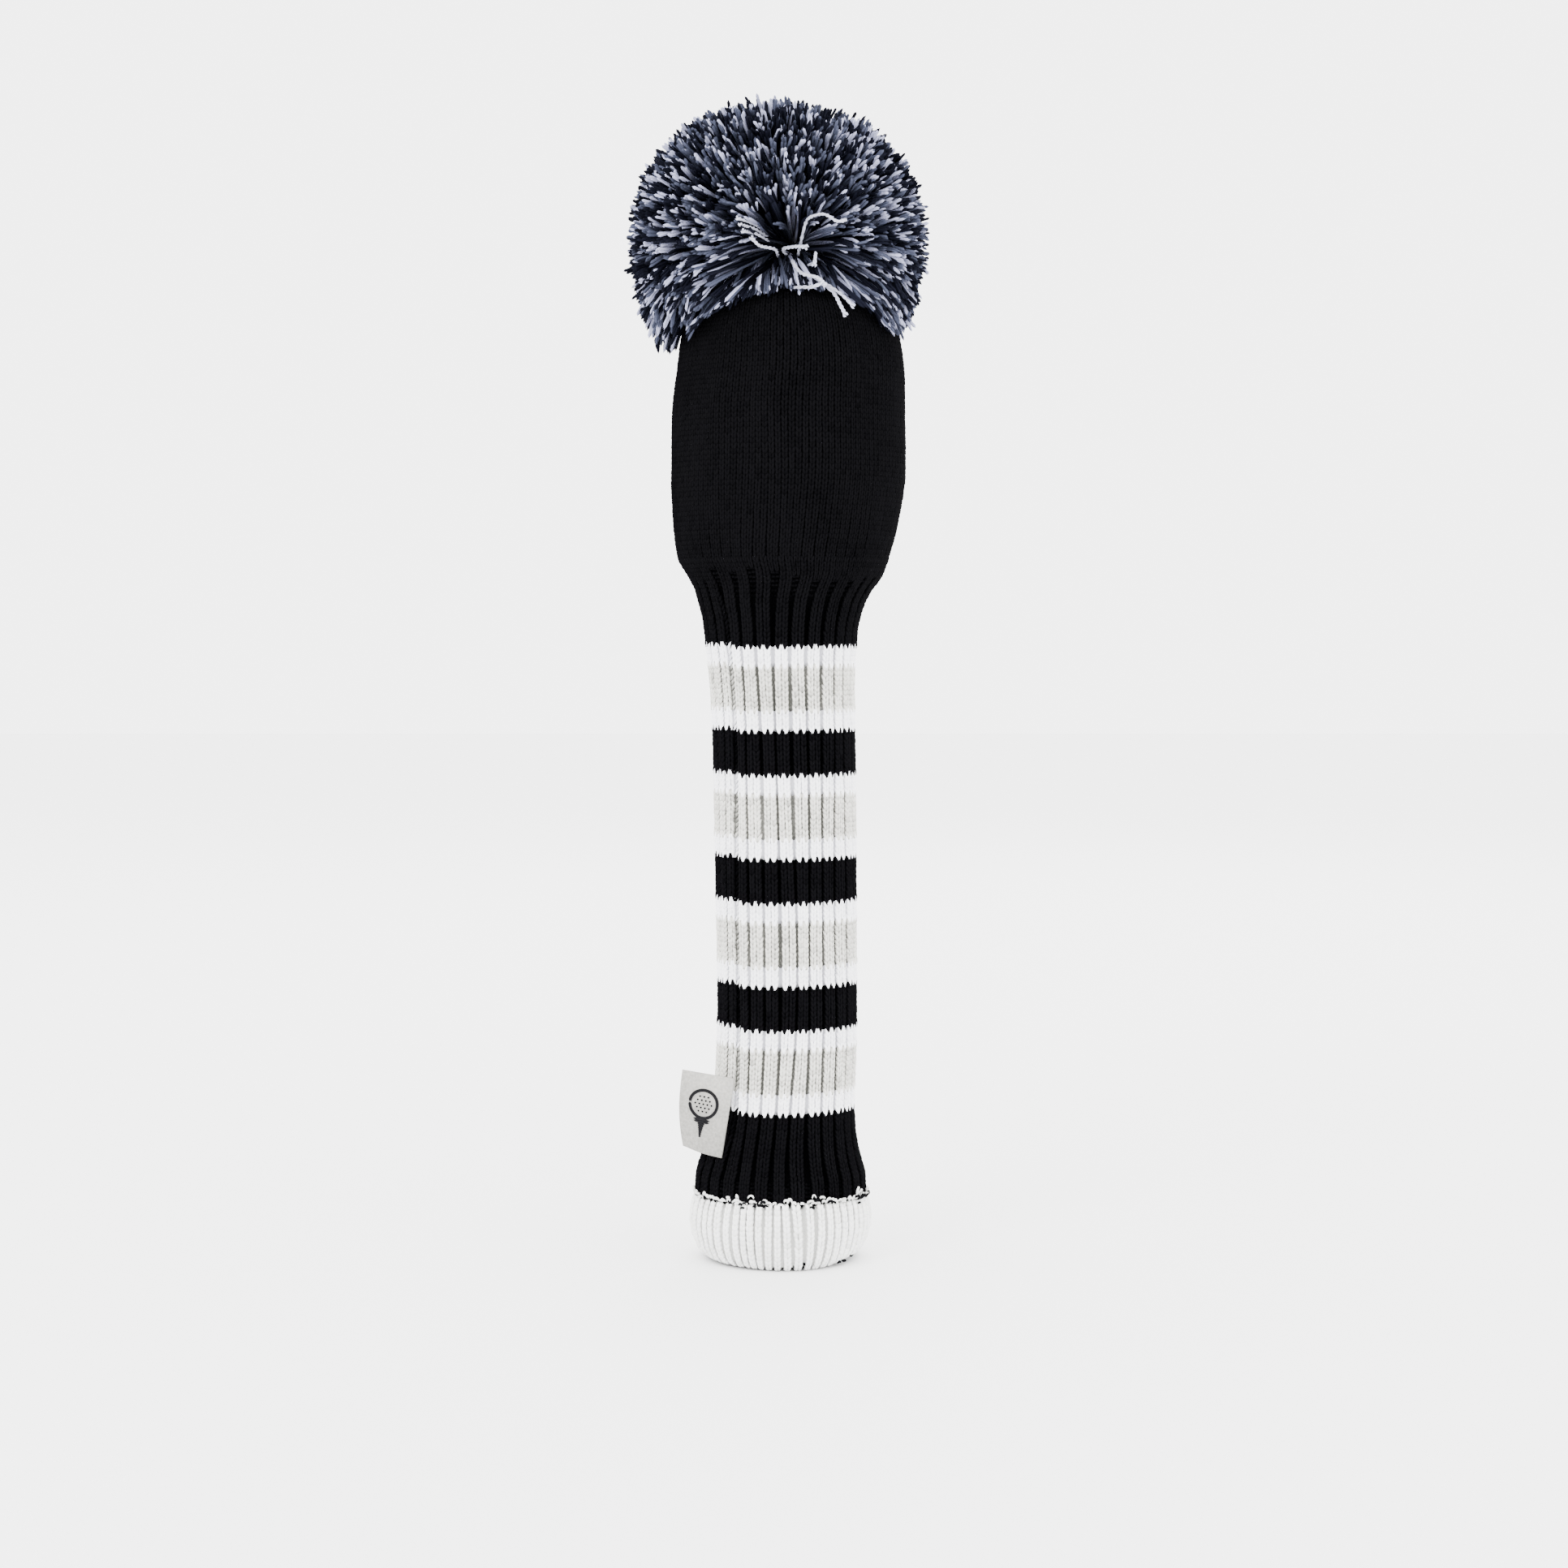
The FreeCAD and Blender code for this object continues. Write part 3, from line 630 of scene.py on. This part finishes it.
lining("neck_lining", [(2.4, 24.6), (12, 25.2), (22, 25.6), (36, 24.2), (52, 21.9),
                       (100, 21.9), (160, 21.9), (THROAT_BOTTOM, 22.0)])
lining("pocket_lining", [(THROAT_BOTTOM, 22.0), (231, 22.6), (240, 28.0), (252, 33.8),
                         (281, 37.6), (310, 37.0), (330, 34.4), (341, 27), (347, 15), (349.2, 4)])

# The elastic band between the knitting and the linings, ridged like braid.
BAND_ROWS, BAND_COLUMNS, BAND_RIDGE = 49, 120, 2.0
band_low, band_high = span("throat_elastic")
band_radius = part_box("throat_elastic")[1].x / MM
z = np.linspace(band_low, band_high, BAND_ROWS)[:, None]
angle = round_angles(BAND_COLUMNS)[None]
ridges = 0.2 * np.cos(TURN * (z - band_low) / BAND_RIDGE)
cloth = Cloth()
cloth.wall(hung(angle, band_radius - 0.3 + ridges, z), hung(angle, band_radius - 1.1, z))
cloth.piece("throat_elastic_band", rubber, "elastic", "cover", "throat_elastic")


# ---------------------------------------------------------------- the pom-pom
POM_CENTRE = np.array([-3.5, 0.0, TIE[2] + 4.2])
POM_RADIUS = 53.0
POM_YARNS = 7400
KNOT = TIE + [0, 0, 1.5]
PARTING = unit(np.array([0.13, -0.97, -0.20]))


def ball_directions(count):
    i = np.arange(count) + 0.5
    up = 1 - 2 * i / count
    turn = math.pi * (1 + math.sqrt(5)) * i
    flat = np.sqrt(1 - up ** 2)
    d = np.stack([flat * np.cos(turn), flat * np.sin(turn), up], -1)
    return unit(d + rng.normal(0, 0.022, d.shape))


def parted(d, push, wide):
    """Directions swept away from the parting, which opens a dimple there."""
    cos_a = d @ PARTING
    alpha = np.degrees(np.arccos(np.clip(cos_a, -1, 1)))
    away = unit(d - cos_a[:, None] * PARTING)
    beta = np.radians(alpha + push * np.exp(-(alpha / wide) ** 2))
    return np.cos(beta)[:, None] * PARTING + np.sin(beta)[:, None] * away, alpha


def compass(d):
    """Azimuth and angle from the top of some directions, in degrees."""
    return np.degrees(np.arctan2(d[:, 1], d[:, 0])) % 360, np.degrees(np.arccos(d[:, 2]))


def from_compass(azimuth, polar):
    a, b = np.radians(azimuth), np.radians(polar)
    return np.stack([np.sin(b) * np.cos(a), np.sin(b) * np.sin(a), np.cos(b)], -1)


def rim(azimuth):
    """How far down the yarns reach on each side of the ball."""
    return np.interp(azimuth, [0, 50, 90, 135, 180, 225, 255, 285, 320],
                     [127, 125, 125, 128, 135, 126, 112, 112, 120], period=360)


start = ball_directions(POM_YARNS)
azimuth, polar = compass(start)
inside = polar < rim(azimuth) + rng.normal(0, 2.0, len(polar))
start, azimuth, polar = start[inside], azimuth[inside], polar[inside]
count = len(start)
tip, alpha = parted(start, 17 * rng.uniform(0.3, 1.5, count), 30)
tip = unit(tip + rng.normal(0, 0.035, tip.shape))
tip_azimuth, tip_polar = compass(tip)
from_parting = tip_azimuth - compass(PARTING[None])[0]
aside = smoothstep(93, 106, polar) * np.exp(-(from_parting / 34) ** 2)
tip_azimuth = tip_azimuth + np.sign(from_parting) * aside * rng.uniform(18, 46, count)
tip_polar = np.minimum(tip_polar, rim(tip_azimuth % 360) + rng.normal(0, 1.5, count))
tip = from_compass(tip_azimuth, tip_polar)

# The ends lie on an uneven ball: shorter near the parting and on top, longer low down.
near = np.exp(-(alpha / 34) ** 2)
reach = POM_RADIUS + 0.7 * rng.normal(0, 1, count) - 5.0 * rng.random(count) ** 2 \
    - near * rng.uniform(1, 8, count) + 0.9 * ripple(np.radians(tip_azimuth), tip_polar) \
    - 4.5 * (1 - smoothstep(4, 42, tip_polar)) + 2.4 * smoothstep(104, 122, tip_polar)
tips = POM_CENTRE + tip * reach[:, None]
root_dir = from_compass(azimuth, np.minimum(polar, 88 + 0.25 * (tip_polar - 90)))
roots = KNOT + root_dir * (17 + rng.uniform(-2, 2, count))[:, None]
bend = POM_CENTRE + unit(root_dir + 0.9 * tip) * (0.78 * reach)[:, None]
bend += rng.normal(0, 2.4, bend.shape)

# At the front the yarns under the parting lie down sideways over the crown, up to an arched edge.
APRON = 560
x = rng.uniform(-35, 38, APRON)
drop = np.interp(x, [-36, -27, -18, -5, 18, 26, 33, 40], [27, 18.5, 15.5, 11, 11.5, 14.5, 21.5, 29])
z = CROWN_TOP - drop + rng.normal(0, 0.8, APRON) + 8 * rng.random(APRON) ** 2
r = np.interp(z, knit_tube.z, knit_tube.r) + rng.uniform(1.2, 6, APRON)
lying_tips = np.stack([x, -np.sqrt(np.maximum(r ** 2 - x ** 2, 60)), z], -1)
lying_roots = np.stack([0.15 * x + rng.uniform(-5, 5, APRON), rng.uniform(-17, -13, APRON),
                        TIE[2] + rng.uniform(-3, 1, APRON)], -1)
lying_bend = 0.42 * lying_roots + 0.58 * lying_tips + rng.normal(0, 1.6, (APRON, 3)) \
    + np.stack([0.12 * x, rng.uniform(-9, -4, APRON), rng.uniform(3, 7, APRON)], -1)
tips, roots, bend = (np.concatenate(pair) for pair in
                     ((tips, lying_tips), (roots, lying_roots), (bend, lying_bend)))
tip = np.concatenate([tip, unit(lying_tips - lying_bend)])
alpha = np.concatenate([alpha, np.zeros(APRON)])
count += APRON

BLACK, SLATE, LIGHT = 0, 1, 2
kinds = rng.choice(3, count, p=[0.50, 0.29, 0.21])
upper = tips[:, 2] > POM_CENTRE[2]

# Each piece of the ball: its name, its yarn, its material, and the halves of the ball it covers.
POM_PIECES = (("pom_yarn_black_lower", BLACK, pom_black, (False,)),
              ("pom_yarn_slate", SLATE, pom_slate, (False, True)),
              ("pom_yarn_light", LIGHT, pom_light, (False, True)),
              ("pom_yarn_black_upper", BLACK, pom_black, (True,)))
pom_cloths = [Cloth() for _ in POM_PIECES]


def bezier(a, b, c, t):
    t = t[None, :, None]
    return (1 - t) ** 2 * a[:, None] + 2 * t * (1 - t) * b[:, None] + t ** 2 * c[:, None]


# Two plies are twisted into each yarn. The yarns near the parting have more points.
PARTING_REACH = 60
for close in (False, True):
    some = (alpha < PARTING_REACH) == close
    t = np.array([0, 0.03, 0.22, 0.42, 0.62, 0.80, 0.96, 1]) if close \
        else np.array([0, 0.05, 0.50, 0.80, 0.97, 1])
    path = bezier(roots[some], bend[some], tips[some], t)
    n = len(path)
    across = unit(np.cross(tip[some], rng.normal(0, 1, (n, 3))))
    other = np.cross(across, tip[some])
    twist = rng.uniform(0, TURN, n)[:, None] + t[None] * 3.4
    apart = 0.34 + 0.24 * smoothstep(0.75, 1.0, t) * rng.uniform(0.0, 1.8, n)[:, None]
    ply = (across[:, None] * np.cos(twist)[..., None]
           + other[:, None] * np.sin(twist)[..., None]) * apart[..., None]
    kind = kinds[some]
    mixed = rng.random(n) < 0.25
    partner = np.where(mixed, rng.integers(0, 3, n), kind)
    thick = rng.normal(0.47, 0.05, (n, 1)) * np.interp(t, [0, 0.5, 0.97, 1], [0.8, 0.95, 1.12, 0])
    thick[:, 0] = 0
    # Painted shade: each ply darkens towards its root, deep in the ball, around a random tone per
    # yarn.
    tone_and_shade = rng.normal(0, 0.2, (n, 1)) + np.interp(t, [0, 0.45, 0.75, 0.97], [0, 0.08, 0.4, 0.85])
    for ply_path, ply_kind in ((path + ply, kind), (path - ply, partner)):
        ply_path[:, -2:] += unit(tips[some] - bend[some])[:, None] * rng.normal(0, 0.7, (n, 1, 1))
        for cloth, (_, yarn_kind, _, halves) in zip(pom_cloths, POM_PIECES):
            chosen = (ply_kind == yarn_kind) & np.isin(upper[some], halves)
            up = other[chosen][:, None] + 0.01
            cloth.yarns(ply_path[chosen], thick[chosen], up, tone_and_shade[chosen])

# The lowest yarns rest on the crown. The ball's pieces are made in place.
for cloth, (name, _, material, _) in zip(pom_cloths, POM_PIECES):
    obj = cloth.piece(name, material, "pom_yarn", None, "pom_pom")
    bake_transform(obj)

# The middle of the ball, where the yarns lie packed under the tie.
CORE_ROWS, CORE_COLUMNS, CORE_RADIUS = 24, 72, 17.5
cloth = Cloth()
turn = round_angles(CORE_COLUMNS)
tilt = np.linspace(0.02, math.radians(97), CORE_ROWS)[:, None]
lump = CORE_RADIUS + 0.8 * np.sin(5 * turn[None] + 9 * tilt) \
    + rng.normal(0, 0.25, (CORE_ROWS, CORE_COLUMNS))
dome = np.stack([lump * np.sin(tilt) * np.cos(turn), lump * np.sin(tilt) * np.sin(turn),
                 lump * np.cos(tilt)], -1) + KNOT
r = np.linspace(CORE_RADIUS - 1, 4, 5)[:, None]
under = np.stack([r * np.cos(turn), r * np.sin(turn), TIE[2] - 0.6 + 0 * r * turn], -1)
# The core is painted dark (shade 0.2), as the shade deep inside the ball.
cloth.grid(np.concatenate([under[::-1], dome[::-1]]), shade=0.2)
obj = cloth.piece("pom_core", pom_black, "pom_yarn", None, "pom_pom")
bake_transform(obj)

# The binding wraps, and its long pale ends that stray out of the parting.
def strand(cloth, points, radius):
    """One loose two-ply yarn end through a few points."""
    points = np.array(points, float)
    u = np.linspace(0, 1, len(points))
    t = np.linspace(0, 1, 30)
    path = np.stack([steady_curve(u, points[:, i], t) for i in range(3)], -1)
    run = unit(np.gradient(path, axis=0))
    side = unit(np.cross(run, [0.2, 1, 0.1]))
    top = np.cross(side, run)
    length = np.linalg.norm(np.diff(path, axis=0), axis=1).sum()
    size = radius * np.interp(t, [0, 0.04, 0.88, 0.97, 1], [0, 0.45, 0.47, 0.6, 0])
    spread = radius * np.interp(t, [0, 0.85, 1], [0.36, 0.36, 0.85])[:, None]
    for phase in (0, math.pi):
        turn = (t * length * 1.4 + phase)[:, None]
        ply = path + (side * np.cos(turn) + top * np.sin(turn)) * spread
        # Painted shade: each end darkens towards where it leaves the parting, with a random tone.
        tone_and_shade = 0.25 + 0.6 * t + rng.normal(0, 0.08, len(t))
        cloth.yarns(ply[None], size[None], np.array([0.1, 1, 0.1])[None, None] + 0 * ply,
                    tone_and_shade[None])


# Each end's thickness, and the places it passes through.
ENDS = ((0.80, (3, -20, 352), (4.5, -36, 357), (7, -46, 364), (12, -49.5, 365), (17, -49, 362.6),
         (20, -47.5, 363.5)),
        (0.85, (1, -20, 353), (-1.5, -34, 355.2), (2.5, -38, 355.6), (7, -41, 355.0)),
        (0.90, (2, -20, 352), (1.7, -36, 351), (4.7, -43, 346), (10.5, -47, 343.8), (13, -48, 341)),
        (0.80, (2, -46, 340.8), (7, -48.5, 340.6), (12.6, -48, 342.2)),
        (0.68, (12.6, -47.5, 342.2), (18, -45, 338.8), (22.8, -41, 334.6)),
        (0.85, (9, -40, 345), (15.8, -44.5, 339), (18, -44, 335), (20, -42.5, 331.5)),
        (0.75, (3, -22, 350), (9, -38, 350), (9.6, -42, 353), (9.0, -44, 348)),
        (0.75, (-3, -24, 353), (-4, -38, 354.6), (-9, -44, 355), (-12.7, -46.5, 358)))
cloth = Cloth()
for radius, *points in ENDS:
    strand(cloth, points, radius)
for k in range(3):
    strand(cloth, [(-6, -30, 360.5 - k), (-11.5, -44, 362.5 - 1.5 * k),
                   (-17.5 + k, -48.5, 364 - 2.2 * k)], 0.7)
WRAPS, WRAP_LOW, WRAP_RISE, WRAP_YARN = 4, 355.2, 0.8, 0.55
wrap = np.linspace(0, TURN, 40)
for k in range(WRAPS):
    r = 8.3 + 0.4 * (k % 2)
    ring = np.stack([r * np.cos(wrap), r * np.sin(wrap), WRAP_LOW + WRAP_RISE * k + 0 * wrap], -1)
    size = np.where((wrap > 0) & (wrap < TURN), WRAP_YARN, 0.0)
    # The wraps are painted dark (shade 0.2), as the shade deep in the parting.
    cloth.yarns(ring[None], size[None], np.array([0.02, 0.01, 1])[None, None] + 0 * ring, 0.2)
obj = cloth.piece("pom_tie_ends", tie_yarn, "tie_yarn", None, "pom_binding")
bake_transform(obj)


# ---------------------------------------------------------------- the side label
LABEL_FOOT = np.array([-23.2, -18.9, 38.6])
LABEL_LEAN = math.radians(9.3)
LABEL_UP = np.array([math.sin(LABEL_LEAN), 0.0, math.cos(LABEL_LEAN)])
LABEL_OUT = np.array([-LABEL_UP[2], 0.0, LABEL_UP[0]])
LABEL_LONG, LABEL_DEEP = 28.6, 18.9
LABEL_LAYER, LABEL_GAP = 0.32, 0.16
LABEL_TURN, LABEL_CURL = math.radians(4), math.radians(37)


def label_point(out, up, front):
    """A place on the label: out from the seam, up along it, and off its face to the front.
    The label hangs from the seam and turns back towards its lower corner."""
    out, up, front = np.broadcast_arrays(*(np.asarray(v, float) for v in (out, up, front)))
    turn = LABEL_TURN + LABEL_CURL * (1 - up / LABEL_LONG) ** 1.3 \
        * (0.4 + 0.6 * smoothstep(0, LABEL_DEEP, out))
    back = np.array([0, 1.0, 0])
    away = np.cos(turn)[..., None] * LABEL_OUT + np.sin(turn)[..., None] * back
    face = np.sin(turn)[..., None] * LABEL_OUT - np.cos(turn)[..., None] * back
    return LABEL_FOOT + out[..., None] * away + up[..., None] * LABEL_UP + front[..., None] * face


LABEL_FACE = LABEL_GAP / 2 + LABEL_LAYER


def fold_path(off):
    """Out along the front layer, round the fold and back; off is the distance from mid-gap."""
    run = np.linspace(0, LABEL_DEEP - 0.5, 46)
    front = [(x, off) for x in run]
    fold = [(run[-1] + off * math.sin(b), off * math.cos(b))
            for b in np.linspace(0, math.pi, 9)[1:-1]]
    return np.array(front + fold + [(x, -off) for x in run[::-1]])


cloth = Cloth()
path = np.concatenate([fold_path(LABEL_FACE), fold_path(LABEL_GAP / 2)[::-1]])
up = np.linspace(0, LABEL_LONG, 60)
weave = rng.normal(0, 0.012, (len(path), len(up)))
points = label_point(path[:, 0][:, None] + 0 * up, up[None] + 0 * path[:, :1],
                     path[:, 1][:, None] + weave)
rows_n, cols_n = points.shape[:2]
index = np.arange(rows_n * cols_n).reshape(rows_n, cols_n)
nxt = np.roll(index, -1, axis=0)
quads = np.stack([index[:, :-1], index[:, 1:], nxt[:, 1:], nxt[:, :-1]], -1).reshape(-1, 4)
row = np.arange(rows_n // 2 - 1)
ends = []
for edge, flip in ((0, False), (cols_n - 1, True)):
    a, b = index[row, edge], index[row + 1, edge]
    c, d = index[rows_n - 2 - row, edge], index[rows_n - 1 - row, edge]
    ends.append(np.stack([a, d, c, b] if flip else [a, b, c, d], -1))
# The label is painted darker towards its lower end, as shade.
cloth.add(points.reshape(-1, 3), np.concatenate([quads] + ends), np.zeros((0, 3), int),
          np.tile(0.35 + 0.4 * up / LABEL_LONG, rows_n))
label = cloth.piece("side_label_cloth", label_cloth, "label_cloth", "label", "side_label")

# A plain generic mark: a dimpled ball on a tee.
def label_thread(cloth, out, up, radius):
    """One thread of the mark, on both faces of the label."""
    t = np.linspace(0, 1, len(out))
    for side in (1, -1):
        path = label_point(out, up, side * (LABEL_FACE + 0.10))
        size = np.where((t > 0) & (t < 1), radius, 0.0)
        cloth.yarns(path[None], size[None], np.array([0.02, 1, 0.01])[None, None] + 0 * path, 0.5)


BALL_OUT, BALL_UP, BALL_RADII = 9.6, 17.6, (5.3, 4.8)
DIMPLE_ACROSS, DIMPLE_RISE, DIMPLE_HALF, DIMPLES_WITHIN = 1.5, 1.35, 0.45, 3.6
TEE_TOP, TEE_ROW, TEE_HALVES = 11.9, 0.75, (3.4, 3.2, 1.5, 1.2, 1.0, 0.8, 0.65, 0.5, 0.35)
cloth = Cloth()
a = np.linspace(0, TURN, 48)
for r in BALL_RADII:
    label_thread(cloth, BALL_OUT + r * np.cos(a), BALL_UP + r * np.sin(a), 0.34)
for row in range(-2, 3):
    odd = abs(row) % 2
    for col in np.arange(-2, 3 - odd) + 0.5 * odd:
        across, rise = col * DIMPLE_ACROSS, row * DIMPLE_RISE
        if math.hypot(across, rise) < DIMPLES_WITHIN:
            label_thread(cloth, BALL_OUT + across + np.array([-DIMPLE_HALF, 0, DIMPLE_HALF]),
                         np.full(3, BALL_UP + rise), 0.42)
for k, half in enumerate(TEE_HALVES):
    label_thread(cloth, np.linspace(BALL_OUT - half, BALL_OUT + half, 8),
                 np.full(8, TEE_TOP - TEE_ROW * k), 0.42)
mark = cloth.piece("side_label_mark", label_print, "label_cloth", "label")


# ---------------------------------------------------------------- pieces that keep their CAD shape
for node, material in (("side_seam_thread", black_thread), ("crown_gather_thread", black_thread),
                       ("pom_tie_cord", tie_yarn), ("anchor_button", button_plastic)):
    node_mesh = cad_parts[node].data
    node_mesh.materials.clear()
    node_mesh.materials.append(material)


# ---------------------------------------------------------------- floor, light and camera
floor_mesh = bpy.data.meshes.new("floor")
FLOOR = 6
floor_mesh.from_pydata([(-FLOOR, -FLOOR, 0), (FLOOR, -FLOOR, 0), (FLOOR, FLOOR, 0),
                        (-FLOOR, FLOOR, 0)], [], [(0, 1, 2, 3)])
floor = show("floor", floor_mesh)
floor_material = bpy.data.materials.new("floor")
floor_material.use_nodes = True
floor_shader = floor_material.node_tree.nodes["Principled BSDF"]
floor_shader.inputs["Base Color"].default_value = (0.93, 0.93, 0.93, 1)
floor_shader.inputs["Roughness"].default_value = 0.9
floor_shader.inputs["Specular IOR Level"].default_value = 0.1
floor_mesh.materials.append(floor_material)

world = bpy.data.worlds.new("world")
bpy.context.scene.world = world
world.use_nodes = True
world.node_tree.nodes["Background"].inputs["Color"].default_value = (1, 1, 1, 1)
world.node_tree.nodes["Background"].inputs["Strength"].default_value = 5.0


def aim(obj, place, target):
    """Puts a light or the camera at a place and turns it to face a target."""
    obj.location = place
    obj.rotation_mode = "QUATERNION"
    obj.rotation_quaternion = (Vector(target) - Vector(place)).to_track_quat("-Z", "Y")


for name, place, size, power in (("key", (-1.1, -1.5, 1.6), 1.0, 30),
                                 ("fill", (1.5, -1.2, 0.9), 1.4, 10),
                                 ("back", (0.3, 1.6, 1.5), 1.4, 22)):
    light_data = bpy.data.lights.new(name, "AREA")
    light_data.shape, light_data.size, light_data.energy = "DISK", size, power
    aim(show(name, light_data), place, (0, 0, 0.2))

camera_data = bpy.data.cameras.new("camera")
camera_data.lens, camera_data.sensor_width = 67.5, 36
camera = show("camera", camera_data)
aim(camera, (-0.0012, -1.05, 0.221), (-0.0012, 0, 0.170))
bpy.context.scene.camera = camera
